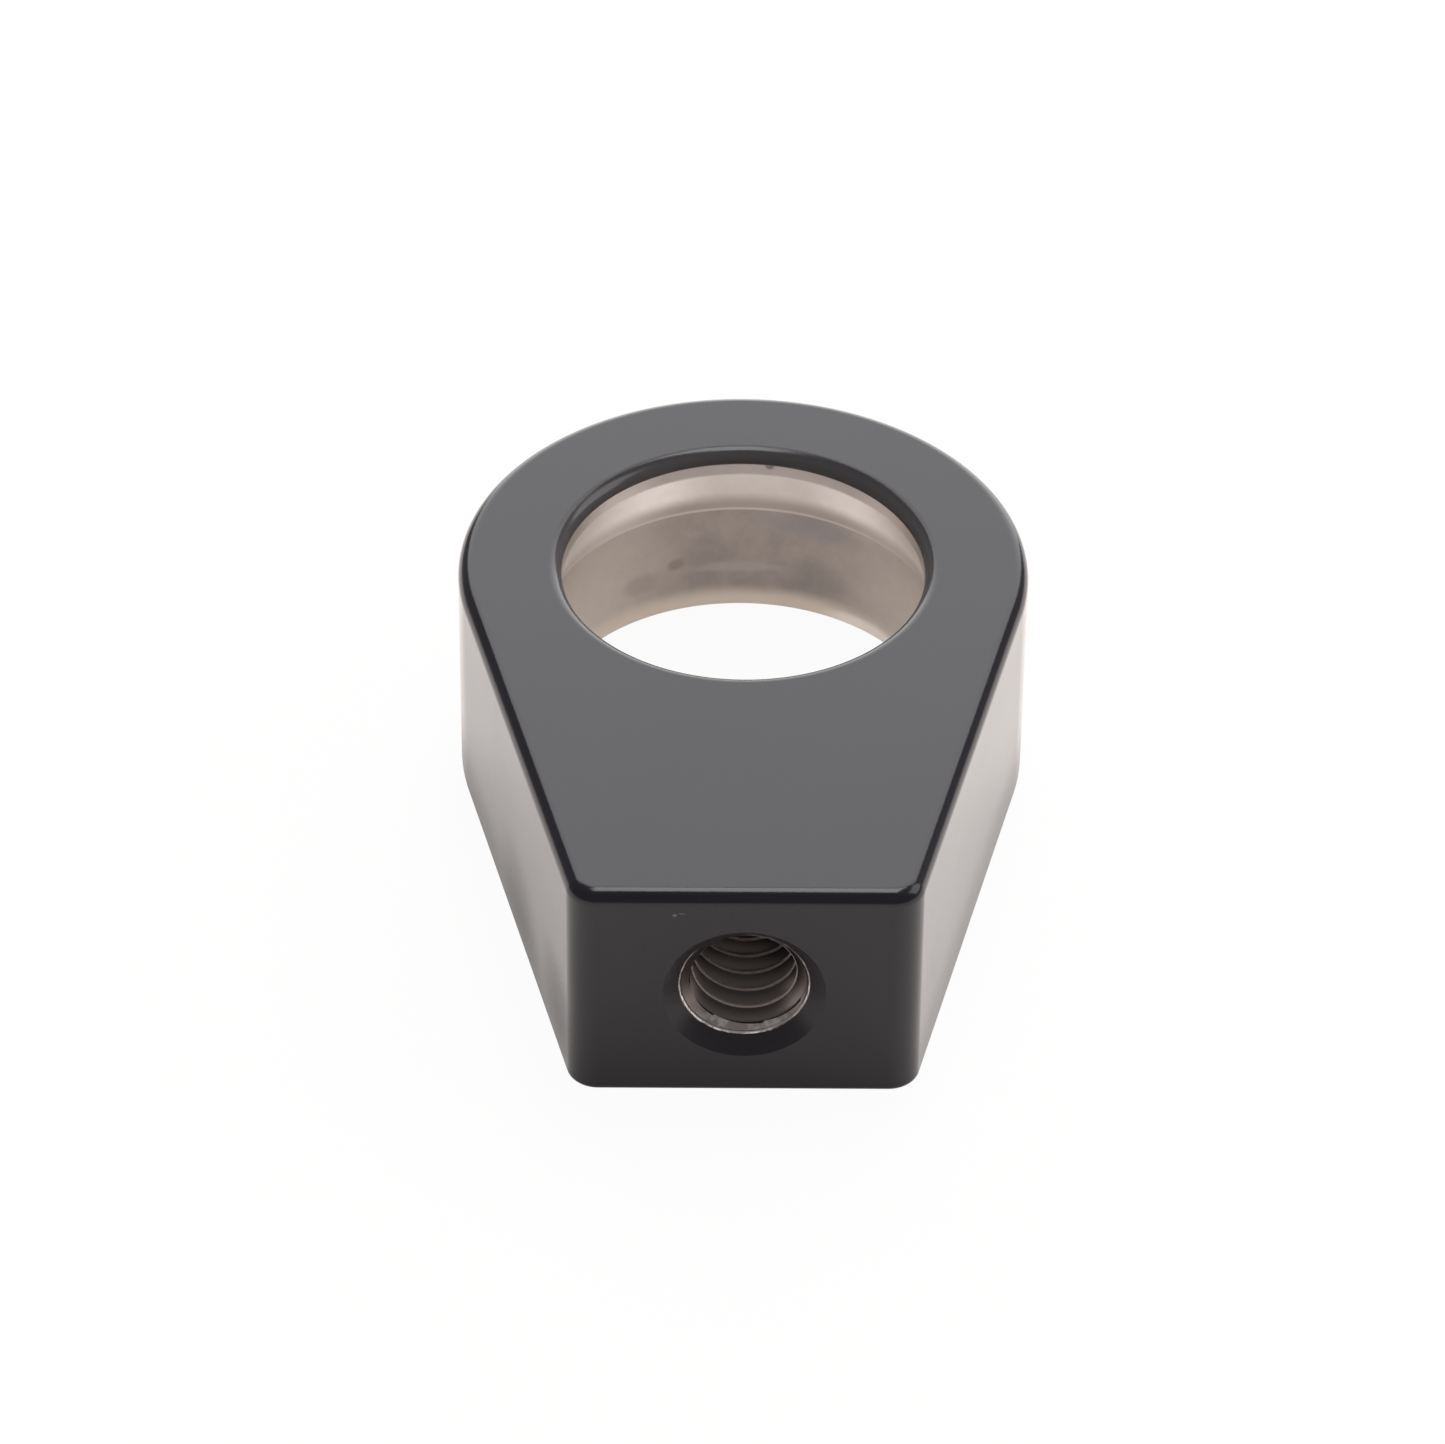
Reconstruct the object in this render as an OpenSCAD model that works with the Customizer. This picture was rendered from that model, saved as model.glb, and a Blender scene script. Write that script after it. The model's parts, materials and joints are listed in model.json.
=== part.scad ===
// Lens mount: a round lens cell on a tapered foot that screws onto a post.
// The bore axis is +Z, the rear face lies on z = 0 and the foot points along -Y.

/* [Body] */
// Diameter of the round head
head_d = 29.6; // [28.6:0.1:36]
// Thickness between the front and the rear face
thickness = 12.7; // [11:0.1:20]
// Distance from the bore axis to the flat foot
foot_distance = 26.85; // [26:0.05:40]
// Width of the foot, measured where its flanks would meet its face
foot_w = 17.65; // [12:0.05:24]
// Radius of the foot's upright corners
corner_r = 1.6; // [1.6:0.1:3]
// Radius of the rounded edges of the front face, round the outline and at the lip of the bore
front_edge_r = 0.75; // [0.2:0.05:0.75]
// Radius of the rounded edge of the rear face
rear_edge_r = 0.3; // [0.1:0.05:0.75]

/* [Lens cell] */
// Diameter of the clear aperture in the front lip
aperture_d = 18.85; // [14:0.05:19.5]
// Height of the straight land under the rounded lip
land_h = 0.7; // [0.3:0.1:1]
// Height of the conical seat between the land and the cell
seat_h = 3; // [1:0.1:4]
// Diameter of the lens cell
cell_d = 20.7; // [20:0.1:22]
// Diameter of the rear counterbore
counterbore_d = 25.6; // [23:0.1:26.6]
// Depth of the rear counterbore
counterbore_depth = 1.9; // [0.5:0.1:3]

/* [Tapped hole in the foot] */
// Drilled diameter, which is the thread's inner diameter
tap_drill_d = 5.2; // [3:0.1:6.6]
// Depth of the straight drilled wall below the foot
tap_depth = 12; // [6:0.5:13]
// Diameter of the countersink in the foot's face
countersink_d = 8.05; // [7:0.05:9.5]
// Included angle of the countersink
countersink_angle = 90; // [60:1:120]
// Included angle of the drill point
drill_point_angle = 118; // [90:1:140]

/* [Hidden] */
$fn = 128;

// Overlap that carries a cut past the face it opens through
cut_past = 1;
// The walls of the round parts lie this little inside those of the straight ones, and the flat faces of the
// straight ones lie half as much inside those of the round ones, so that all of them meet in true edges
round_relief = 0.01;
// How far the block's flat middle reaches into its rim
middle_lap = 0.5;

head_r = head_d / 2;
// Axes of the foot's two round corners
right_corner = [foot_w / 2 - corner_r, corner_r - foot_distance];
left_corner = [-right_corner.x, right_corner.y];
// Direction in which the right flank faces, from the bore axis to where the flank meets the head
flank_angle = atan2(right_corner.y, right_corner.x) + acos((head_r - corner_r) / norm(right_corner));
flank_dir = [cos(flank_angle), sin(flank_angle)];
// Where the rims of the flanks start on the head, as far inside it as the corners' axes lie inside the foot
right_start = (head_r - corner_r) * flank_dir;
left_start = [-right_start.x, right_start.y];

aperture_r = aperture_d / 2;
cell_r = cell_d / 2;
lip_r = aperture_r + front_edge_r;
land_top_z = thickness - front_edge_r;
seat_top_z = land_top_z - land_h;
seat_bottom_z = seat_top_z - seat_h;

tap_r = tap_drill_d / 2;
countersink_depth = (countersink_d - tap_drill_d) / 2 / tan(countersink_angle / 2);
drill_point_h = tap_r / tan(drill_point_angle / 2);

// Section of the block's rim, from an upright line out to the wall, with the front and rear edges rounded.
// The wall and the roundings lie the side relief inside, and the flat faces the face relief.
module rim_section(reach, side_relief = 0, face_relief = 0) {
    wall = reach - side_relief;
    front_x = reach - front_edge_r;
    rear_x = reach - rear_edge_r;
    front_z = thickness - face_relief - front_edge_r;
    rear_z = face_relief + rear_edge_r;
    polygon([
        [0, face_relief],
        [rear_x, face_relief],
        [rear_x, rear_z],
        [wall, rear_z],
        [wall, front_z],
        [front_x, front_z],
        [front_x, thickness - face_relief],
        [0, thickness - face_relief]
    ]);
    // The circles' seams are turned inwards
    translate([rear_x, rear_z]) rotate(180) circle(r = rear_edge_r - side_relief);
    translate([front_x, front_z]) rotate(180) circle(r = front_edge_r - side_relief);
}

// Round part of the block about an upright axis
module round_part(axis, reach) {
    translate(axis) rotate_extrude() rim_section(reach, side_relief = round_relief);
}

// Straight part of the rim, which faces in one direction and runs clockwise from its start
module straight_rim(start, facing, run) {
    translate(start)
        rotate([90, 0, facing])
            linear_extrude(run) rim_section(corner_r, face_relief = round_relief / 2);
}

// Solid block: the round head and corners, the straight rims that join them, and a flat middle that laps
// over them all
module block() {
    right_lap = middle_lap * flank_dir;
    left_lap = [-right_lap.x, right_lap.y];
    foot_lap = [0, -middle_lap];
    round_part([0, 0], head_r);
    round_part(right_corner, corner_r);
    round_part(left_corner, corner_r);
    straight_rim(right_start, flank_angle, norm(right_corner - right_start));
    straight_rim(left_corner, 180 - flank_angle, norm(right_corner - right_start));
    straight_rim(right_corner, -90, 2 * right_corner.x);
    linear_extrude(thickness)
        polygon([
            -foot_lap,
            right_start + right_lap,
            right_corner + right_lap,
            right_corner + foot_lap,
            left_corner + foot_lap,
            left_corner + left_lap,
            left_start + left_lap
        ]);
}

// Through bore, turned in one profile: counterbore, cell, seat, land and the room for the rounded lip
module bore_cut() {
    rotate_extrude()
        polygon([
            [0, -cut_past],
            [counterbore_d / 2, -cut_past],
            [counterbore_d / 2, counterbore_depth],
            [cell_r, counterbore_depth],
            [cell_r, seat_bottom_z],
            [aperture_r, seat_top_z],
            [aperture_r, land_top_z],
            [lip_r, land_top_z],
            [lip_r, thickness + cut_past],
            [0, thickness + cut_past]
        ]);
}

// Countersunk blind hole, turned in one profile with its mouth on z = 0
module tapped_hole_cut() {
    countersink_slope = tan(countersink_angle / 2);
    rotate_extrude()
        polygon([
            [0, -cut_past],
            [countersink_d / 2 + cut_past * countersink_slope, -cut_past],
            [tap_r, countersink_depth],
            [tap_r, tap_depth],
            [0, tap_depth + drill_point_h]
        ]);
}

module mount_body() {
    color([0.13, 0.13, 0.14]) {
        difference() {
            block();
            bore_cut();
            translate([0, -foot_distance, thickness / 2])
                rotate([-90, 0, 0])
                    tapped_hole_cut();
        }
        translate([0, 0, land_top_z])
            rotate_extrude() translate([lip_r, 0]) circle(r = front_edge_r);
    }
}

mount_body();
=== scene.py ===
"""Finish of the lens mount: one machined block, black anodised, with its bore and its thread cut bare."""

import json
import math

import bpy
import numpy as np
from mathutils import Matrix, Vector


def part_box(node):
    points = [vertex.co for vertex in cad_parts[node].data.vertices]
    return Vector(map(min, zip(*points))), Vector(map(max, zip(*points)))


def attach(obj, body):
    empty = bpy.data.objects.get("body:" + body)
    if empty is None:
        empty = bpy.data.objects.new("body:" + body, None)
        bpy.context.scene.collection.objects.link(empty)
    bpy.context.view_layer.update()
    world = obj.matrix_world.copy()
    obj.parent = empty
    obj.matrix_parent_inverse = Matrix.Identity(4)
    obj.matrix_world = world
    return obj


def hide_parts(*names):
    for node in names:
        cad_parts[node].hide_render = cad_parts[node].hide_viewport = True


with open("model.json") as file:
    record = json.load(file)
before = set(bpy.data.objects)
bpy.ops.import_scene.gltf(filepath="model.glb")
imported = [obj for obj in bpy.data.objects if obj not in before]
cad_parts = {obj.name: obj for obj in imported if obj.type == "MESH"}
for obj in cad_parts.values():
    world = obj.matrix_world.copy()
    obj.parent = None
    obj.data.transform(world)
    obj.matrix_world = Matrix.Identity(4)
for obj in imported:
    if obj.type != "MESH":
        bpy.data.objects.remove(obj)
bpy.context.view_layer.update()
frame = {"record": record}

MM = 0.001
BODY = "mount_body"
BOX_LOW, BOX_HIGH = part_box(BODY)


def mount_size(name, key):
    """One of a mount's sizes, in metres."""
    found = next(m for m in frame["record"]["mounts"] if m["name"] == name)
    return found["dims"][key] * MM


# Outline of the block
HEAD_R = BOX_HIGH.x
THICKNESS = BOX_HIGH.z
FOOT_Y = BOX_LOW.y
FOOT_W = 17.65 * MM
CORNER_R = 1.6 * MM
FRONT_EDGE_R = 0.75 * MM
REAR_EDGE_R = 0.3 * MM
CORE_R = HEAD_R - CORNER_R
CORNER = np.array([FOOT_W / 2 - CORNER_R, FOOT_Y + CORNER_R])

# Bore, from the front lip down
APERTURE_R = 9.425 * MM
LAND_H = 0.7 * MM
LAND_TOP_Z = THICKNESS - FRONT_EDGE_R
SEAT_TOP_Z = LAND_TOP_Z - LAND_H
CELL_R = mount_size("lens_cell", "r_mm")
COUNTERBORE_R = mount_size("rear_counterbore", "r_mm")
COUNTERBORE_DEPTH = mount_size("rear_counterbore", "length_mm")
CELL_TOP_Z = COUNTERBORE_DEPTH + mount_size("lens_cell", "length_mm")
REAR_LIP_R = 0.1 * MM
DEBURR = 0.05 * MM
RIM_FLAT = 0.2 * MM

# Tapped hole in the foot
HOLE_Z = THICKNESS / 2
TAP_R = mount_size("post_tap", "r_mm")
COUNTERSINK_R = 4.025 * MM
TAP_DEPTH = COUNTERSINK_R - TAP_R + mount_size("post_tap", "length_mm")
DRILL_POINT_ANGLE = 118
DRILL_POINT_H = TAP_R / math.tan(math.radians(DRILL_POINT_ANGLE / 2))
THREAD_R = 3.175 * MM
PITCH = 1.27 * MM
CREST_W = PITCH / 7
ROOT_W = PITCH / 8
FULL_THREAD = 9.6 * MM
THREAD_END = 10.9 * MM
THREAD_START = 0.44
BARE_R = 3.22 * MM

# How finely the surfaces are drawn
HEAD_STEPS = 300
FLANK_STEPS = 40
CORNER_STEPS = 16
FOOT_STEPS = 56
FRONT_EDGE_STEPS = 12
REAR_EDGE_STEPS = 6
WALL_STEPS = 20
FACE_STEPS = 3
PATCH_STEPS = 8
PITCH_STEPS = 16
SPARE_ROWS = 3
POINT_STEPS = 3
FILLET_STEPS = 4
LIP_STEPS = 14

# Which finish a face has
ANODISED, TURNED, TAPPED = range(3)


def unit(angle):
    """Points on the unit circle at the given angles."""
    return np.stack([np.cos(angle), np.sin(angle)], axis=-1)


def blend(start, end, share):
    """start where share is 0, end where share is 1, and the straight line between them elsewhere."""
    return (1 - share) * start + share * end


def joined(flat, height):
    """Points or directions in a plane, with a third coordinate added. Heights down a column of an array
    make one row of points for each."""
    shape = np.broadcast_shapes(flat.shape[:-1], np.shape(height))
    flat = np.broadcast_to(flat, shape + (2,))
    height = np.broadcast_to(height, shape)
    return np.concatenate([flat, height[..., None]], axis=-1)


# ---------------------------------------------------------------- the block's surface


class Skin:
    """Gathers grids of points, each with its normals and its finish, and joins them into one closed mesh."""

    WELD = 0.1e-6
    WELD_OFFSET = 0.37

    def __init__(self):
        self.points = []
        self.faces = []
        self.normals = []
        self.finishes = []
        self.count = 0

    def add(self, points, normals, finish, keep=True, turn_rows=0):
        """Adds a grid of rows by columns whose columns close on themselves. At that seam the row number
        changes by turn_rows, as on a helix. keep is true for the columns whose faces are wanted."""
        rows, columns = points.shape[:2]
        row, column = np.mgrid[0 : rows - 1, 0:columns]
        following = (column + 1) % columns
        beside = row + np.where(following == 0, turn_rows, 0)
        corners = np.stack(
            [
                row * columns + column,
                beside * columns + following,
                (beside + 1) * columns + following,
                (row + 1) * columns + column,
            ],
            axis=-1,
        )
        wanted = (beside >= 0) & (beside + 1 < rows) & keep
        corners = corners[wanted]
        self.points.append(points.reshape(-1, 3))
        self.faces.append(corners + self.count)
        self.normals.append(np.broadcast_to(normals, points.shape).reshape(-1, 3)[corners])
        self.finishes.append(np.full(len(corners), finish))
        self.count += rows * columns

    def mesh(self, name, materials):
        """Points that coincide become one. A face that loses a side becomes a triangle, and one that loses
        two goes. Each face corner keeps its own grid's normal, so a true edge stays crisp."""
        points = np.concatenate(self.points)
        cells = np.floor(points / self.WELD + self.WELD_OFFSET).astype(np.int64)
        _, first, welded = np.unique(cells, axis=0, return_index=True, return_inverse=True)
        faces = welded.reshape(-1)[np.concatenate(self.faces)]
        kept = faces != np.roll(faces, 1, axis=1)
        whole = kept.sum(axis=1) >= 3
        kept &= whole[:, None]
        sides = kept.sum(axis=1)[whole]
        starts = np.cumsum(sides) - sides
        data = bpy.data.meshes.new(name)
        data.vertices.add(len(first))
        data.vertices.foreach_set("co", points[first].ravel())
        data.loops.add(sides.sum())
        data.loops.foreach_set("vertex_index", faces[kept].astype(np.int32))
        data.polygons.add(len(sides))
        data.polygons.foreach_set("loop_start", starts.astype(np.int32))
        data.polygons.foreach_set("material_index", np.concatenate(self.finishes)[whole].astype(np.int32))
        data.polygons.foreach_set("use_smooth", np.ones(len(sides), bool))
        data.update(calc_edges=True)
        for material in materials:
            data.materials.append(material)
        data.normals_split_custom_set(np.concatenate(self.normals)[kept])
        piece = bpy.data.objects.new(name, data)
        bpy.context.scene.collection.objects.link(piece)
        return piece


def outline():
    """The block's outline, anticlockwise from above, as core points and outward directions: the true
    outline is core + CORNER_R * direction. Each stretch turns or keeps its direction, and its core point is
    CORE_R * direction on the head, and moves evenly from start to end elsewhere."""
    tangent = math.atan2(CORNER[1], CORNER[0]) + math.acos(CORE_R / np.hypot(*CORNER))
    left_flank, foot, right_flank = math.pi - tangent, 1.5 * math.pi, tangent + 2 * math.pi
    left_corner = CORNER * [-1, 1]
    stretches = [
        (HEAD_STEPS, tangent, left_flank, None, None),
        (FLANK_STEPS, left_flank, left_flank, CORE_R * unit(left_flank), left_corner),
        (CORNER_STEPS, left_flank, foot, left_corner, left_corner),
        (FOOT_STEPS, foot, foot, left_corner, CORNER),
        (CORNER_STEPS, foot, right_flank, CORNER, CORNER),
        (FLANK_STEPS, right_flank, right_flank, CORNER, CORE_R * unit(right_flank)),
    ]
    cores, directions = [], []
    for steps, first_angle, last_angle, start, end in stretches:
        share = np.arange(steps) / steps
        direction = unit(blend(first_angle, last_angle, share))
        cores.append(CORE_R * direction if start is None else blend(start, end, share[:, None]))
        directions.append(direction)
    return np.concatenate(cores), np.concatenate(directions)


def turned_profile(corners):
    """A turned profile through (radius, height, fillet, steps) corners, as points and normals. Each corner
    between the ends becomes an arc of that radius that touches both of its lines. The normal is the way
    along the profile, turned left, which points off the metal."""
    places = np.array([corner[:2] for corner in corners])
    along = np.diff(places, axis=0)
    along /= np.linalg.norm(along, axis=1, keepdims=True)
    angles = np.arctan2(-along[:, 0], along[:, 1])
    points, normals = [places[0]], [unit(angles[0])]
    for place, corner, before, after in zip(places[1:-1], corners[1:-1], angles, angles[1:]):
        fillet, steps = corner[2:]
        turn = (after - before + math.pi) % (2 * math.pi) - math.pi
        side = math.copysign(1, turn)
        centre = place - side * fillet / math.cos(turn / 2) * unit(before + turn / 2)
        way = unit(before + turn * np.linspace(0, 1, steps + 1))
        points.extend(centre + side * fillet * way)
        normals.extend(way)
    points.append(places[-1])
    normals.append(unit(angles[-1]))
    return np.array(points), np.array(normals)


def turned(profile, angles):
    """A profile turned about the bore axis: (radius * cos, radius * sin, height) at each angle."""
    points, normals = profile
    around = unit(angles)
    return (
        joined(points[:, None, :1] * around, points[:, None, 1]),
        joined(normals[:, None, :1] * around, normals[:, None, 1]),
    )


def add_bore(skin, angles):
    """The bore's wall in four turned stretches, each ending in a true edge: the anodised round lip, the bare
    land with the seat, the cell, and the counterbore. Returns its rings in the front and rear faces."""
    lip_r = APERTURE_R + FRONT_EDGE_R
    lip_foot = (APERTURE_R, LAND_TOP_Z)
    seat_foot = (CELL_R, CELL_TOP_Z)
    shoulder = (COUNTERBORE_R, COUNTERBORE_DEPTH)
    stretches = [
        [(lip_r + RIM_FLAT, THICKNESS), (APERTURE_R, THICKNESS, FRONT_EDGE_R, LIP_STEPS), lip_foot],
        [lip_foot, (APERTURE_R, SEAT_TOP_Z, DEBURR, FILLET_STEPS), seat_foot],
        [seat_foot, (CELL_R, COUNTERBORE_DEPTH, DEBURR, FILLET_STEPS), shoulder],
        [shoulder, (COUNTERBORE_R, 0, REAR_LIP_R, FILLET_STEPS), (COUNTERBORE_R + RIM_FLAT, 0)],
    ]
    rings = []
    for corners, finish in zip(stretches, (ANODISED, TURNED, TURNED, TURNED)):
        points, normals = turned(turned_profile(corners), angles)
        skin.add(points, normals, finish)
        rings.extend([points[0], points[-1]])
    return rings[0], rings[-1]


def add_outside(skin):
    """The outer surface. The front face runs from its rim in to the bore, and the rear face from the bore
    out. The edge roundings and the wall follow the outline: at a tilt from the upright, a point of a
    rounding lies edge_r * (1 - sin(tilt)) inside the outline, and edge_r * cos(tilt) above the rounding's
    middle. The wall's columns along the foot are left open, and their rim is returned, anticlockwise seen
    from outside."""
    core, direction = outline()
    rim = core + CORNER_R * direction
    front_ring, rear_ring = add_bore(skin, np.arctan2(rim[:, 1], rim[:, 0]))
    front_rim = joined(rim - FRONT_EDGE_R * direction, THICKNESS)
    rear_rim = joined(rim - REAR_EDGE_R * direction, 0.0)
    share = np.linspace(0, 1, FACE_STEPS + 1)[:, None, None]
    skin.add(blend(front_rim, front_ring, share), np.array([0, 0, 1]), ANODISED)
    skin.add(blend(rear_ring, rear_rim, share), np.array([0, 0, -1]), ANODISED)

    def add_rounding(edge_r, middle_z, tilts):
        """One rounded edge, at these tilts from straight up."""
        normals = joined(np.sin(tilts)[:, None, None] * direction, np.cos(tilts)[:, None])
        skin.add(joined(rim - edge_r * direction, middle_z) + edge_r * normals, normals, ANODISED)

    add_rounding(FRONT_EDGE_R, THICKNESS - FRONT_EDGE_R, np.linspace(math.pi / 2, 0, FRONT_EDGE_STEPS + 1))
    add_rounding(REAR_EDGE_R, REAR_EDGE_R, np.linspace(math.pi, math.pi / 2, REAR_EDGE_STEPS + 1))
    heights = np.linspace(REAR_EDGE_R, THICKNESS - FRONT_EDGE_R, WALL_STEPS + 1)
    wall = joined(rim, heights[:, None])
    foot_start = HEAD_STEPS + FLANK_STEPS + CORNER_STEPS
    foot = slice(foot_start, foot_start + FOOT_STEPS + 1)
    off_foot = np.ones(len(rim), bool)
    off_foot[foot_start : foot_start + FOOT_STEPS] = False
    skin.add(wall, joined(direction, 0.0), ANODISED, keep=off_foot)
    opening = wall[:, foot]
    right = opening[:-1, -1]
    top = opening[-1, :0:-1]
    left = opening[:0:-1, 0]
    bottom = opening[0, :-1]
    return np.concatenate([right, top, left, bottom])


def thread_depth(turns):
    """How far the thread is cut past its crest, as a share of its full depth: none across the crest, all
    across the root, and straight flanks between them. turns counts pitches from a crest's middle."""
    from_crest = np.abs((turns + 0.5) % 1 - 0.5) * PITCH
    return np.clip((from_crest - CREST_W / 2) / ((PITCH - CREST_W - ROOT_W) / 2), 0, 1)


def add_hole(skin, frame_rim):
    """The foot's face and the tapped hole in it. The face runs straight from its rim in to the countersink.
    The hole's rows follow the thread: row k lies k / PITCH_STEPS pitches deep at the first column and gets
    one pitch shallower in a turn, held between the face and the drill point. Its radius is the larger of
    the countersink's cone, COUNTERSINK_R - depth, and the thread's."""
    around = np.unwrap(np.arctan2(frame_rim[:, 2] - HOLE_Z, frame_rim[:, 0]))
    turned_by = (around - around[0]) / (2 * math.pi)
    across = unit(around)

    def placed(radius, depth):
        """Points of the hole at this radius and depth in each column."""
        return np.stack([radius * across[:, 0], FOOT_Y + depth, HOLE_Z + radius * across[:, 1]], axis=-1)

    mouth = placed(COUNTERSINK_R, np.zeros(len(around)))
    share = np.linspace(0, 1, PATCH_STEPS + 1)[:, None, None]
    skin.add(blend(frame_rim, mouth, share), np.array([0, -1, 0]), ANODISED)

    rows = math.ceil(TAP_DEPTH / PITCH * PITCH_STEPS) + PITCH_STEPS + SPARE_ROWS
    pitches = (np.arange(rows)[:, None] - 1) / PITCH_STEPS
    depth = np.clip((pitches - turned_by) * PITCH, 0, TAP_DEPTH)
    cone_r = COUNTERSINK_R - depth
    fade = np.clip((THREAD_END - depth) / (THREAD_END - FULL_THREAD), 0, 1)
    thread_r = TAP_R + (THREAD_R - TAP_R) * fade * thread_depth(pitches + THREAD_START)
    radius = np.maximum(cone_r, thread_r)
    step = 1 / PITCH_STEPS
    rise = thread_depth(pitches + THREAD_START + step) - thread_depth(pitches + THREAD_START - step)
    slope = np.where(cone_r > thread_r, -1.0, fade * rise * (THREAD_R - TAP_R) / (2 * step * PITCH))
    twist = np.where(cone_r > thread_r, 0.0, slope * PITCH / (2 * math.pi) / radius)
    sideways = np.stack([-across[:, 1], across[:, 0]], axis=-1)
    flat = -across + twist[..., None] * sideways
    normals = np.stack([flat[..., 0], slope, flat[..., 1]], axis=-1)
    normals /= np.linalg.norm(normals, axis=-1, keepdims=True)
    skin.add(placed(radius, depth), normals, TAPPED, turn_rows=-PITCH_STEPS)

    inward = np.linspace(0, 1, POINT_STEPS + 1)[:, None]
    point = placed(TAP_R * (1 - inward), TAP_DEPTH + DRILL_POINT_H * inward * np.ones(len(around)))
    lean = np.array([DRILL_POINT_H, TAP_R]) / np.hypot(DRILL_POINT_H, TAP_R)
    flat = -lean[0] * across
    point_normals = np.stack([flat[:, 0], np.full(len(around), -lean[1]), flat[:, 1]], axis=-1)
    skin.add(point, point_normals, TAPPED)


def mount_block(materials):
    """The whole block as one closed surface."""
    skin = Skin()
    add_hole(skin, add_outside(skin))
    return skin.mesh("lens_mount_block", materials)


# ---------------------------------------------------------------- materials


class Value:
    """A shader socket that can be used in sums. Each sum adds its Math node."""

    def __init__(self, nodes, socket):
        self.nodes = nodes
        self.socket = socket

    def maths(self, operation, *others):
        """A Math node on this value and others."""
        return self.nodes.node("Math", {"operation": operation}, dict(enumerate((self,) + others)))

    def __add__(self, other):
        return self.maths("ADD", other)

    def __sub__(self, other):
        return self.maths("SUBTRACT", other)

    def __rsub__(self, other):
        return self.nodes.node("Math", {"operation": "SUBTRACT"}, {0: other, 1: self})

    def __mul__(self, other):
        return self.maths("MULTIPLY", other)

    def __truediv__(self, other):
        return self.maths("DIVIDE", other)

    __radd__ = __add__
    __rmul__ = __mul__

    def absolute(self):
        """The value without its sign."""
        return self.maths("ABSOLUTE")

    def between(self, low, high):
        """0 at low, 1 at high, and a smooth ramp between them."""
        settings = {"interpolation_type": "SMOOTHSTEP"}
        return self.nodes.node("MapRange", settings, {"Value": self, "From Min": low, "From Max": high})


class Nodes:
    """A node tree, and the one way in which nodes are added to it."""

    # The Mix node's colour sockets go by number, because its sockets for other kinds share their names
    MIX_SHARE, MIX_FIRST, MIX_SECOND = 0, 6, 7
    MIX_COLOUR = 2

    def __init__(self, tree):
        self.tree = tree

    def node(self, kind, settings, inputs, output=0):
        """Adds a node: its settings first, and then its inputs' values or links."""
        added = self.tree.nodes.new("ShaderNode" + kind)
        for name, value in settings.items():
            setattr(added, name, value)
        for name, value in inputs.items():
            self.feed(added.inputs[name], value)
        return Value(self, added.outputs[output])

    def feed(self, socket, value):
        """Sets a socket, or links it."""
        if isinstance(value, Value):
            self.tree.links.new(value.socket, socket)
        else:
            socket.default_value = value

    def vector(self, operation, first, second):
        """A VectorMath node."""
        return self.node("VectorMath", {"operation": operation}, {0: first, 1: second})

    def length(self, vector):
        """The length of a vector."""
        return self.node("VectorMath", {"operation": "LENGTH"}, {0: vector}, "Value")

    def mixed(self, share, first, second, mode="MIX"):
        """first where share is 0, second where it is 1."""
        settings = {"data_type": "RGBA", "blend_type": mode}
        inputs = {self.MIX_SHARE: share, self.MIX_FIRST: first, self.MIX_SECOND: second}
        return self.node("Mix", settings, inputs, self.MIX_COLOUR)


class Finish(Nodes):
    """A material on Object coordinates."""

    def __init__(self, name, constants):
        self.material = bpy.data.materials.new(name)
        self.material.use_nodes = True
        super().__init__(self.material.node_tree)
        self.surface = self.tree.nodes["Principled BSDF"]
        for socket, value in constants.items():
            self.surface.inputs[socket].default_value = value
        self.place = self.node("TexCoord", {}, {}, "Object")

    def set(self, **sockets):
        """Feeds the surface's sockets, with _ for a space in a name."""
        for name, value in sockets.items():
            self.feed(self.surface.inputs[name.replace("_", " ").title()], value)

    def coordinate(self, axis):
        """One of the object coordinates."""
        return self.node("SeparateXYZ", {}, {"Vector": self.place}, axis)

    def noise(self, size, detail=2.0, roughness=0.5, place=None):
        """Noise from 0 to 1 whose lumps are about this size in metres."""
        inputs = {"Vector": place or self.place, "Scale": 1 / size, "Detail": detail, "Roughness": roughness}
        return self.node("TexNoise", {}, inputs)

    def from_axis(self, point, across):
        """Distance from the axis through a point, where across is 0 along the axis and 1 across it."""
        moved = self.vector("SUBTRACT", self.place, point)
        return self.length(self.vector("MULTIPLY", moved, across))

    def spot(self, centre, reach, softness=0.5):
        """1 at the centre, 0 past the reach, and soft between them. Both are in millimetres."""
        moved = self.vector("SUBTRACT", self.place, Vector(centre) * MM)
        distance = self.length(self.vector("DIVIDE", moved, Vector(reach) * MM))
        return 1 - distance.between(1 - softness, 1 + softness)

    def marked(self, colour, marks):
        """The colour with a list of marks over it."""
        for centre, reach, mark, strength in marks:
            colour = self.mixed(self.spot(centre, reach) * strength, colour, mark)
        return colour

    def bump(self, height, distance):
        """Normals of a surface raised by height * distance."""
        return self.node("Bump", {}, {"Height": height, "Distance": distance})


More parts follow.
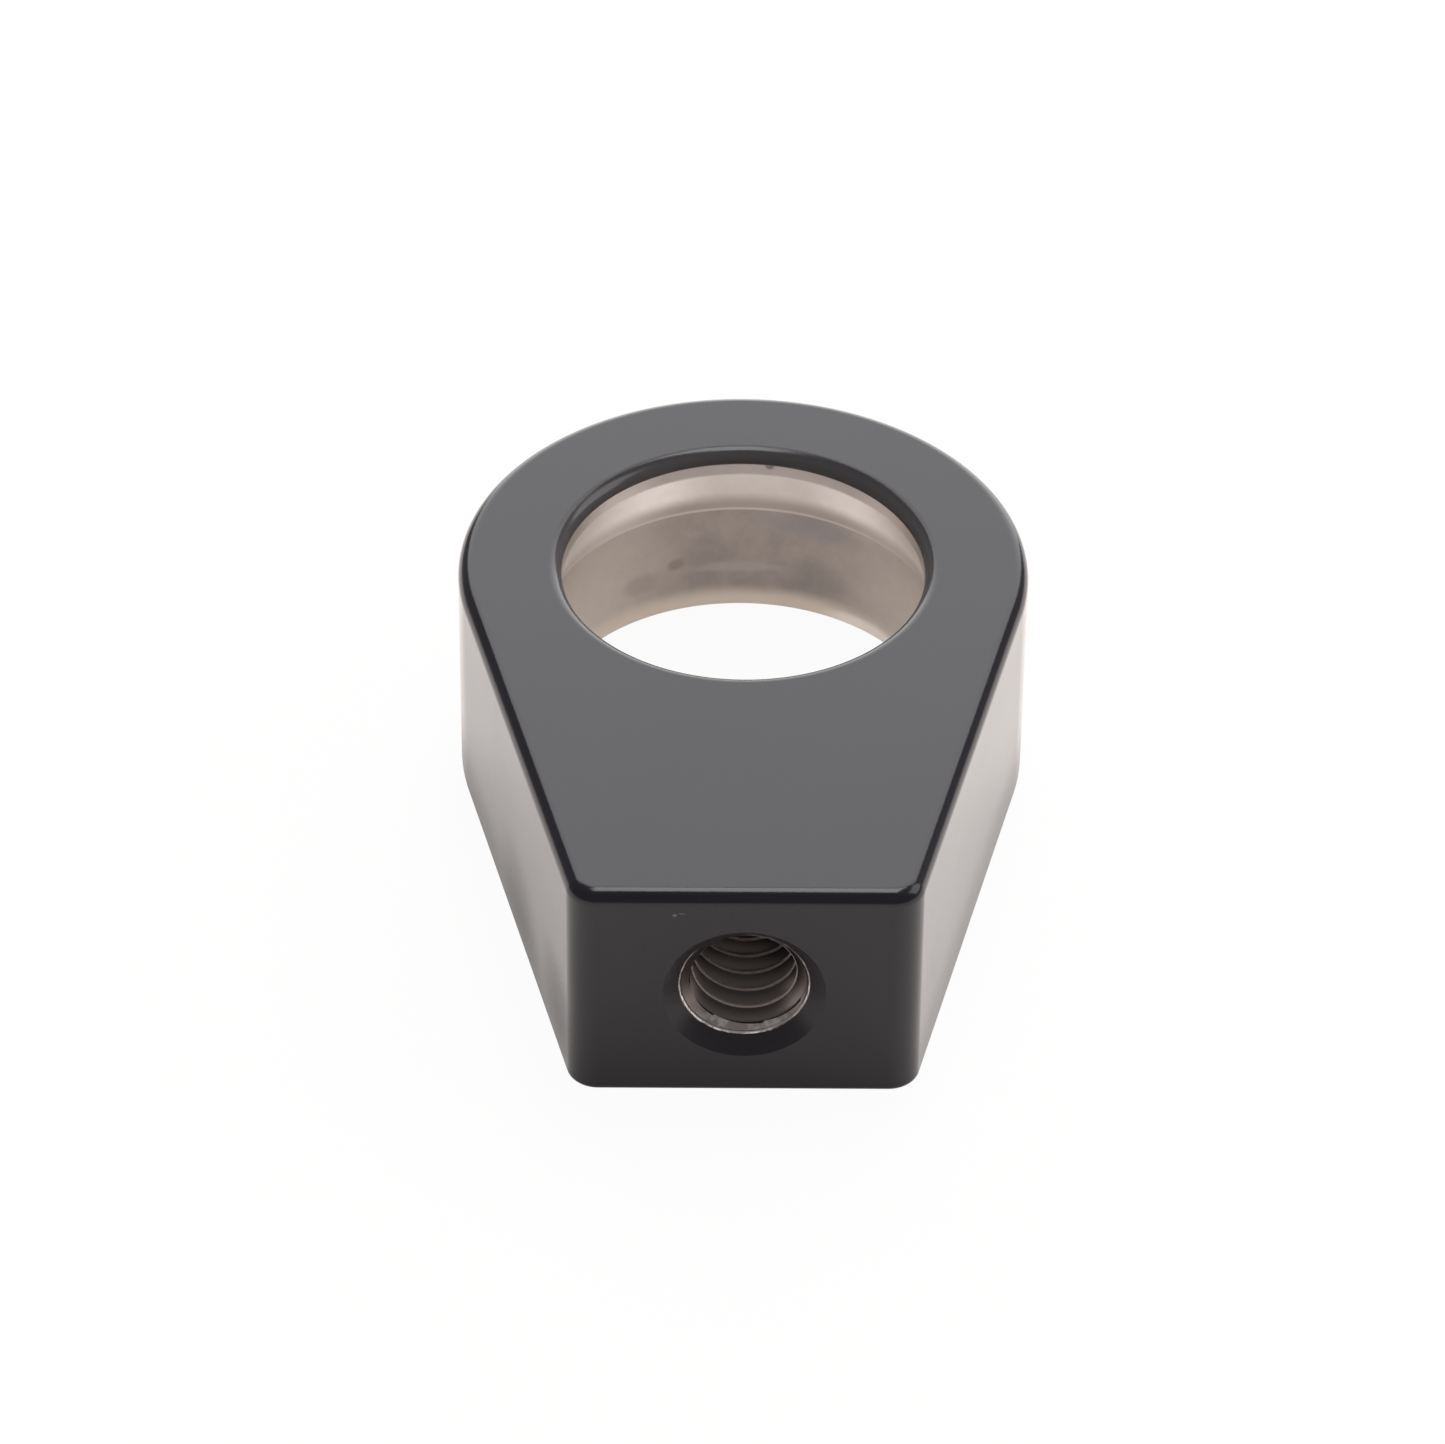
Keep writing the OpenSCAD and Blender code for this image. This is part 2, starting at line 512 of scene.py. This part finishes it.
# Black coat: its darkest and lightest, its thin worn lip round the bore, the sizes of its grain and clouds,
# and how much rougher those and the lower part of the sides are. A ramp runs from where a change starts to
# where it is whole.
COAT_IOR = 1.37
COAT_LOW = (0.0081, 0.0061, 0.0103, 1)
COAT_HIGH = (0.0113, 0.0088, 0.0138, 1)
LIP_COAT = (0.073, 0.065, 0.067, 1)
COAT_GRAIN = 0.16 * MM
COAT_CLOUDS = 6 * MM
COAT_DETAIL = 3
COAT_RELIEF = 0.004 * MM
COAT_ROUGHNESS = 0.18
GRAIN_ROUGHER = 0.06
CLOUDS_ROUGHER = 0.05
LOW_ROUGHER = 0.06
LOW_RAMP = (4 * MM, 1 * MM)
ABOVE_REAR = (1 * MM, 2 * MM)
PATCH_SOFTNESS = 0.8
NOISE_MIDDLE = 0.5

# Marks on the coat: centre and reach in millimetres, colour, and strength
SCRATCH = (0.12, 0.11, 0.11, 1)
COAT_MARKS = [
    ((-3.45, -26.85, 11.45), (0.11, 0.3, 0.09), SCRATCH, 1.0),
    ((-3.10, -26.85, 11.55), (0.16, 0.3, 0.05), SCRATCH, 0.6),
    ((6.25, -7.05, 12.4), (0.14, 0.14, 0.3), SCRATCH, 1.0),
]

# Duller patches on the left flank: centre and reach in millimetres, and how much rougher they are
DULL_PATCHES = [
    ((-11.4, -15.4, 2.9), (1.5, 3.6, 2.2), 0.10),
    ((-9.2, -24.0, 3.4), (1.5, 2.8, 2.0), 0.13),
]

# Bare metal in the bore, from the rear to the front, with painted light and shade in its colours: the cell
# is painted darker than the seat, its sides and rear end and the seat carry painted reflection, and the
# seat's foot has a painted shade band and a painted highlight line
# Painted shade: the cell's two tones are painted darker than the seat, with stains between them
CELL_LOW = (0.211, 0.186, 0.175, 1)
CELL_HIGH = (0.265, 0.236, 0.218, 1)
# Painted reflection: the cell's lighter colour towards its sides
CELL_SIDE_REFLECTION = (0.46, 0.415, 0.379, 1)
# Painted reflection: the cell's lighter colour near the rear
CELL_REAR_REFLECTION = (0.553, 0.49, 0.427, 1)
# Painted shade: the darker band at the seat's foot
SEAT_FOOT_SHADE = (0.335, 0.297, 0.272, 1)
# Painted highlight: the thin light line at the seat's foot
SEAT_LINE_HIGHLIGHT = (0.613, 0.544, 0.504, 1)
# Painted reflection: the seat's light colour in the middle, and lighter still at its sides
SEAT_BRIGHT = (0.553, 0.519, 0.494, 1)
SEAT_SIDE_REFLECTION = (0.889, 0.842, 0.815, 1)
LAND = (0.302, 0.273, 0.268, 1)

# Sizes of the tool marks, stains and mottle in the bore, and how strongly they show
TOOL_MARKS = (60, 60, 9000)
TOOL_DETAIL = 2
TOOL_RELIEF = 0.003 * MM
STAIN_SIZE = 2.2 * MM
STAIN_DETAIL = 4
STAIN_EDGE = (0.3, 0.7)
MOTTLE_SIZE = 0.7 * MM
MOTTLE_DETAIL = 3
MOTTLE_LOW = 0.94
MOTTLE_RANGE = 0.12
ROUGH_NOISE = 0.6
BORE_ROUGHNESS = 0.28
TOOLS_ROUGHER = 0.08
STAINS_ROUGHER = 0.06

# Heights in the bore over which its look changes
# Painted reflection near the rear of the cell
REAR_REFLECTION_RAMP = (3.4 * MM, 2.2 * MM)
SEAT_FOOT_RAMP = (8.24 * MM, 8.26 * MM)
# Painted highlight line at the seat's foot
SEAT_HIGHLIGHT_RAMP = (8.50 * MM, 8.42 * MM)
# Painted shade at the seat's foot
SEAT_SHADE_RAMP = (9.95 * MM, 8.7 * MM)
LAND_RAMP = (11.2 * MM, 11.4 * MM)

# Distances to either side of the bore's middle over which its painted light and shade change: painted
# reflection grows lighter towards the sides, and the painted shade at the seat's foot grows weaker there
SHADE_X = 0.8 * MM
CELL_REFLECTION_SIDES = (2 * MM, 9.5 * MM)
SEAT_REFLECTION_SIDES = (2 * MM, 6 * MM)
SEAT_SHADE_SIDES = (3 * MM, 9 * MM)
LAND_REFLECTION_SIDES = (4.5 * MM, 8 * MM)

# How far each of those changes goes
CELL_REFLECTION_SHARE = 0.9
# Painted reflection near the rear: how far it goes
REAR_REFLECTION_SHARE = 0.9
SEAT_HIGHLIGHT_SHARE = 0.5
# Painted shade at the seat's foot: how much of it is lost towards the sides
SEAT_SHADE_LOST_ASIDE = 0.5
LAND_SHARE = 0.8
# Painted reflection: how much of the land's colour is lost towards the sides
LAND_LOST_TO_REFLECTION = 0.6

# Stains in the bore, and one painted highlight on the cell's lower edge: centre and reach in millimetres,
# colour, and strength
STAINS_AND_GLINT = [
    ((-3.5, 9.75, 5.0), (0.45, 0.4, 0.35), (0.16, 0.12, 0.10, 1), 0.5),
    ((-5.4, 8.9, 4.3), (1.1, 1.0, 0.6), (0.19, 0.16, 0.14, 1), 0.35),
    ((4.1, 9.5, 4.3), (1.8, 1.4, 1.0), (0.17, 0.16, 0.155, 1), 0.35),
    ((4.0, 9.5, 7.5), (2.8, 1.6, 0.7), (0.19, 0.18, 0.195, 1), 0.5),
    ((-0.3, 10.3, 4.45), (2.4, 1.0, 0.3), (0.36, 0.335, 0.32, 1), 0.3),
    # Painted highlight on the cell's lower edge at the right
    ((6.8, 7.8, 2.1), (2.4, 2.4, 0.5), (0.80, 0.78, 0.76, 1), 0.6),
    ((1.44, 9.31, 11.9), (0.22, 0.3, 0.2), (0.12, 0.11, 0.11, 1), 0.8),
]

# Tapped hole: its coat, the bare thread, and the bare end of the countersink's cone, with painted light in
# their colours: painted light at the thread's roots, a painted highlight on its crests and on the burr, and
# the cone painted lighter towards the bottom
CONE_IOR = 1.35
CONE_COAT = (0.022, 0.019, 0.023, 1)
THREAD_FLANK = (0.064, 0.054, 0.052, 1)
# Painted light: the thread's lighter colour towards its roots, where it lies in shade
THREAD_ROOT_PAINTED_LIGHT = (0.178, 0.15, 0.143, 1)
# Painted highlight: the thread's crests painted near white as glints
THREAD_CREST_GLINT = (0.90, 0.80, 0.77, 1)
CONE_UPPER = (0.156, 0.138, 0.134, 1)
# Painted light: the cone's lower part is painted lighter than its upper part
CONE_LOWER_LIGHT = (0.344, 0.303, 0.293, 1)
CONE_SCUFFED = (0.623, 0.572, 0.552, 1)
HOLE_GRAIN = 0.2 * MM
HOLE_GRAIN_DETAIL = 3
SCUFF_SIZE = 0.5 * MM
SCUFF_DETAIL = 4
SCUFF_EDGE = (0.42, 0.62)
CONE_LIGHT_RAMP = (1.5 * MM, 3.0 * MM)
HOLE_ROUGHNESS = 0.30
HOLE_GRAIN_ROUGHER = 0.06
CREST_ROUGHER = 0.4

# In the hole: how soft the edge of bare metal is, how far it wanders at its outer and inner end, and where
# the thread's flank colour starts past its crest
BARE_EDGE = 0.06 * MM
BARE_WANDER = 0.1 * MM
CONE_WANDER = 0.06 * MM
FLANK_START = 0.1 * MM

# Burr of bare metal where the thread's cut meets the countersink, painted bright as a highlight along it
BURR_GLINT = (0.74, 0.69, 0.68, 1)
BURR_R = 3.19 * MM
BURR_HALF_W = 0.065 * MM
BURR_EDGE = (0.3, 1.0)
BURR_LOW = 0.5
BURR_RANGE = 0.5
BURR_RELIEF = 0.04 * MM

# Where the burr's painted highlight is taken away: centre and reach in millimetres, and how much of it is
# gone
BURR_GAPS = [
    ((-1.5, -26.0, 9.4), (1.5, 2.0, 1.2), 1.0),
    ((2.3, -26.0, 4.2), (1.3, 2.0, 1.5), 0.7),
]


def anodised():
    """Satin black anodised coat over a fine blasted grain, with faint cloudy patches from handling."""
    finish = Finish("satin_black_anodised", {"IOR": COAT_IOR})
    grain = finish.noise(COAT_GRAIN, COAT_DETAIL)
    clouds = finish.noise(COAT_CLOUDS, COAT_DETAIL)
    height = finish.coordinate("Z")
    radius = finish.from_axis((0, 0, 0), (1, 1, 0))
    lip = (1 - radius.between(APERTURE_R, APERTURE_R + FRONT_EDGE_R)) * height.between(*ABOVE_REAR)
    colour = finish.mixed(clouds, COAT_LOW, COAT_HIGH)
    colour = finish.mixed(lip, colour, LIP_COAT)
    colour = finish.marked(colour, COAT_MARKS)
    roughness = COAT_ROUGHNESS + (grain - NOISE_MIDDLE) * GRAIN_ROUGHER
    roughness = roughness + (clouds - NOISE_MIDDLE) * CLOUDS_ROUGHER
    roughness = roughness + height.between(*LOW_RAMP) * LOW_ROUGHER
    for centre, reach, rougher in DULL_PATCHES:
        roughness = roughness + finish.spot(centre, reach, PATCH_SOFTNESS) * rougher
    finish.set(base_color=colour, roughness=roughness, normal=finish.bump(grain, COAT_RELIEF))
    return finish.material


def turned_bare():
    """Bare turned aluminium with fine tool marks round the bore. The seat is painted light, with a painted
    shade band and a painted highlight line at its foot, and the cell below is painted darker and stained.
    The cell's sides and rear end, the seat's sides and the land's sides are painted lighter as painted
    reflection."""
    finish = Finish("turned_bare_metal", {"Metallic": 1.0})
    height = finish.coordinate("Z")
    aside = (finish.coordinate("X") - SHADE_X).absolute()
    rings = finish.noise(1.0, TOOL_DETAIL, place=finish.vector("MULTIPLY", finish.place, TOOL_MARKS))
    stains = finish.noise(STAIN_SIZE, STAIN_DETAIL, ROUGH_NOISE)
    mottle = finish.noise(MOTTLE_SIZE, MOTTLE_DETAIL, ROUGH_NOISE)
    # Painted shade: the cell is painted darker than the seat, with stains between its two tones
    cell = finish.mixed(stains.between(*STAIN_EDGE), CELL_LOW, CELL_HIGH)
    # Painted reflection: the cell is painted lighter towards its sides
    cell = finish.mixed(aside.between(*CELL_REFLECTION_SIDES) * CELL_REFLECTION_SHARE, cell, CELL_SIDE_REFLECTION)
    # Painted reflection: the cell is painted lighter near the rear
    cell = finish.mixed(height.between(*REAR_REFLECTION_RAMP) * REAR_REFLECTION_SHARE, cell, CELL_REAR_REFLECTION)
    # Painted reflection: the seat is painted light, and lighter still towards its sides
    seat = finish.mixed(aside.between(*SEAT_REFLECTION_SIDES), SEAT_BRIGHT, SEAT_SIDE_REFLECTION)
    # Painted shade: a darker band at the seat's foot, weaker towards the sides
    seat_shade = height.between(*SEAT_SHADE_RAMP) * (1 - aside.between(*SEAT_SHADE_SIDES) * SEAT_SHADE_LOST_ASIDE)
    seat = finish.mixed(seat_shade, seat, SEAT_FOOT_SHADE)
    # Painted highlight: a thin light line at the seat's foot
    seat = finish.mixed(height.between(*SEAT_HIGHLIGHT_RAMP) * SEAT_HIGHLIGHT_SHARE, seat, SEAT_LINE_HIGHLIGHT)
    # Painted reflection: less of the land's colour towards the sides, where the lighter seat colour shows
    on_land = height.between(*LAND_RAMP) * (LAND_SHARE - aside.between(*LAND_REFLECTION_SIDES) * LAND_LOST_TO_REFLECTION)
    front = finish.mixed(on_land, seat, LAND)
    colour = finish.mixed(height.between(*SEAT_FOOT_RAMP), cell, front)
    colour = finish.marked(colour, STAINS_AND_GLINT)
    colour = finish.mixed(1.0, colour, MOTTLE_LOW + mottle * MOTTLE_RANGE, mode="MULTIPLY")
    roughness = BORE_ROUGHNESS + rings * TOOLS_ROUGHER + stains * STAINS_ROUGHER
    finish.set(base_color=colour, roughness=roughness, normal=finish.bump(rings, TOOL_RELIEF))
    return finish.material


def tapped_bare():
    """The countersink's black coat, and the bare thread that was cut through it. The thread's roots, its
    crests, the burr and the cone's lower part are painted lighter as painted light and painted highlights.
    """
    finish = Finish("countersunk_thread", {"IOR": CONE_IOR})
    grain = finish.noise(HOLE_GRAIN, HOLE_GRAIN_DETAIL)
    scuffs = finish.noise(SCUFF_SIZE, SCUFF_DETAIL).between(*SCUFF_EDGE)
    radius = finish.from_axis((0, 0, HOLE_Z), (1, 0, 1))
    depth = finish.coordinate("Y") - FOOT_Y
    # Painted light: the cone is painted lighter towards the bottom
    lower_light = (HOLE_Z - finish.coordinate("Z")).between(*CONE_LIGHT_RAMP)
    bare = 1 - (radius + (grain - NOISE_MIDDLE) * BARE_WANDER).between(BARE_R, BARE_R + BARE_EDGE)
    past_cone = radius + depth - COUNTERSINK_R + (grain - NOISE_MIDDLE) * CONE_WANDER
    on_cone = 1 - past_cone.between(0.0, BARE_EDGE)
    # Painted highlight: the bare burr is painted bright as a glint along it
    burr = 1 - ((radius - BURR_R) / BURR_HALF_W).absolute().between(*BURR_EDGE)
    burr = burr * on_cone * (BURR_LOW + scuffs * BURR_RANGE)
    for centre, reach, strength in BURR_GAPS:
        burr = burr * (1 - finish.spot(centre, reach) * strength)
    crest = 1 - radius.between(TAP_R, TAP_R + BARE_EDGE)
    # Painted light: the thread is painted lighter towards its roots
    thread = finish.mixed(radius.between(TAP_R + FLANK_START, THREAD_R), THREAD_FLANK, THREAD_ROOT_PAINTED_LIGHT)
    # Painted highlight: near-white glints on the thread's crests
    thread = finish.mixed(crest, thread, THREAD_CREST_GLINT)
    cone = finish.mixed(lower_light, CONE_UPPER, finish.mixed(scuffs, CONE_LOWER_LIGHT, CONE_SCUFFED))
    metal = finish.mixed(on_cone, thread, finish.mixed(burr, cone, BURR_GLINT))
    colour = finish.mixed(bare, CONE_COAT, metal)
    roughness = HOLE_ROUGHNESS + grain * HOLE_GRAIN_ROUGHER + crest * CREST_ROUGHER
    finish.set(base_color=colour, metallic=bare, roughness=roughness, normal=finish.bump(burr, BURR_RELIEF))
    return finish.material


# ---------------------------------------------------------------- studio

CAMERA_PLACE = Vector((-3.175, -264.815, 214.739)) * MM
CAMERA_AZIMUTH = 0.00822
CAMERA_ELEVATION = 0.67682
CAMERA_ROLL = 0.01044
SENSOR = 36.0
LENS = 160.12
CLIP_START = 10 * MM
WHITE = (1, 1, 1, 1)
PAPER = (0.90, 0.845, 0.815, 1)
FLOOR_HALF = 3.0
FLOOR_WHITE = 0.95
GLOSS_WHITE = 0.62
AMBIENT = 0.34

# Softboxes: name, azimuth, elevation, distance, width, height and radiance
SOFTBOXES = [
    ("key", 10, 77, 0.5, 0.16, 0.30, 7.2),
    ("backdrop", 5, 28, 0.6, 0.64, 0.66, 3.0),
    ("side", 80, 35, 0.6, 0.4, 0.4, 2.7),
]


def add_camera():
    """The camera looks down on the mount from in front of its foot."""
    flat = math.cos(CAMERA_ELEVATION)
    ahead = Vector(
        (math.sin(CAMERA_AZIMUTH) * flat, math.cos(CAMERA_AZIMUTH) * flat, -math.sin(CAMERA_ELEVATION))
    )
    level = ahead.cross(Vector((0, 0, 1))).normalized()
    upward = level.cross(ahead)
    sine, cosine = math.sin(CAMERA_ROLL), math.cos(CAMERA_ROLL)
    right = cosine * level + sine * upward
    up = cosine * upward - sine * level
    data = bpy.data.cameras.new("camera")
    data.sensor_width = SENSOR
    data.lens = LENS
    data.clip_start = CLIP_START
    camera = bpy.data.objects.new("camera", data)
    bpy.context.scene.collection.objects.link(camera)
    turn = Matrix((right, up, -ahead)).transposed().to_4x4()
    camera.matrix_world = Matrix.Translation(CAMERA_PLACE) @ turn
    bpy.context.scene.camera = camera


def add_softbox(name, azimuth, elevation, distance, width, height, radiance):
    """A soft light that faces the mount, from an azimuth clockwise from straight behind it and an
    elevation, both in degrees. Its power is radiance * pi * area."""
    azimuth, elevation = math.radians(azimuth), math.radians(elevation)
    flat = math.cos(elevation)
    toward = Vector((math.sin(azimuth) * flat, math.cos(azimuth) * flat, math.sin(elevation)))
    data = bpy.data.lights.new(name, "AREA")
    data.shape = "RECTANGLE"
    data.size = width
    data.size_y = height
    data.energy = radiance * math.pi * width * height
    light = bpy.data.objects.new(name, data)
    light.location = distance * toward
    light.rotation_euler = toward.to_track_quat("Z", "Y").to_euler()
    bpy.context.scene.collection.objects.link(light)


def add_floor():
    """A plain white floor. The camera sees mostly its own white with a trace of the shadow. Reflections see
    paper as the lamps light it, with an even glow added, GLOSS_WHITE strong. The glow isn't light from the
    lamps: it brings the dark sides up without more light on the rest."""
    data = bpy.data.meshes.new("floor")
    corners = [(FLOOR_HALF * x, FLOOR_HALF * y, 0) for x, y in ((-1, -1), (1, -1), (1, 1), (-1, 1))]
    data.from_pydata(corners, [], [(0, 1, 2, 3)])
    floor = bpy.data.objects.new("floor", data)
    bpy.context.scene.collection.objects.link(floor)
    finish = Finish("white_floor", {})
    finish.tree.nodes.remove(finish.surface)
    seen = finish.node("LightPath", {}, {}, "Is Camera Ray")
    through = finish.node("LightPath", {}, {}, "Is Transmission Ray")
    gloss = finish.node("LightPath", {}, {}, "Is Glossy Ray")
    paper = finish.node("BsdfDiffuse", {}, {"Color": PAPER})
    white = finish.node("Emission", {}, {"Color": WHITE})
    shown = finish.node("MixShader", {}, {0: (seen + through) * FLOOR_WHITE, 1: paper, 2: white})
    glow = finish.node("Emission", {}, {"Color": PAPER, "Strength": gloss * GLOSS_WHITE})
    whole = finish.node("AddShader", {}, {0: shown, 1: glow})
    finish.feed(finish.tree.nodes["Material Output"].inputs["Surface"], whole)
    data.materials.append(finish.material)


def add_world():
    """White behind the mount where the camera looks, and a dim even room for everything else."""
    world = bpy.data.worlds.new("studio")
    world.use_nodes = True
    nodes = Nodes(world.node_tree)
    seen = nodes.node("LightPath", {}, {}, "Is Camera Ray")
    room = nodes.node("Background", {}, {"Color": WHITE, "Strength": AMBIENT})
    white = nodes.node("Background", {}, {"Color": WHITE})
    shown = nodes.node("MixShader", {}, {0: seen, 1: room, 2: white})
    nodes.feed(nodes.tree.nodes["World Output"].inputs["Surface"], shown)
    bpy.context.scene.world = world


block = mount_block([anodised(), turned_bare(), tapped_bare()])
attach(block, "root")
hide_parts(BODY)

add_camera()
add_floor()
add_world()
for softbox in SOFTBOXES:
    add_softbox(*softbox)
bpy.context.scene.view_settings.view_transform = "Standard"
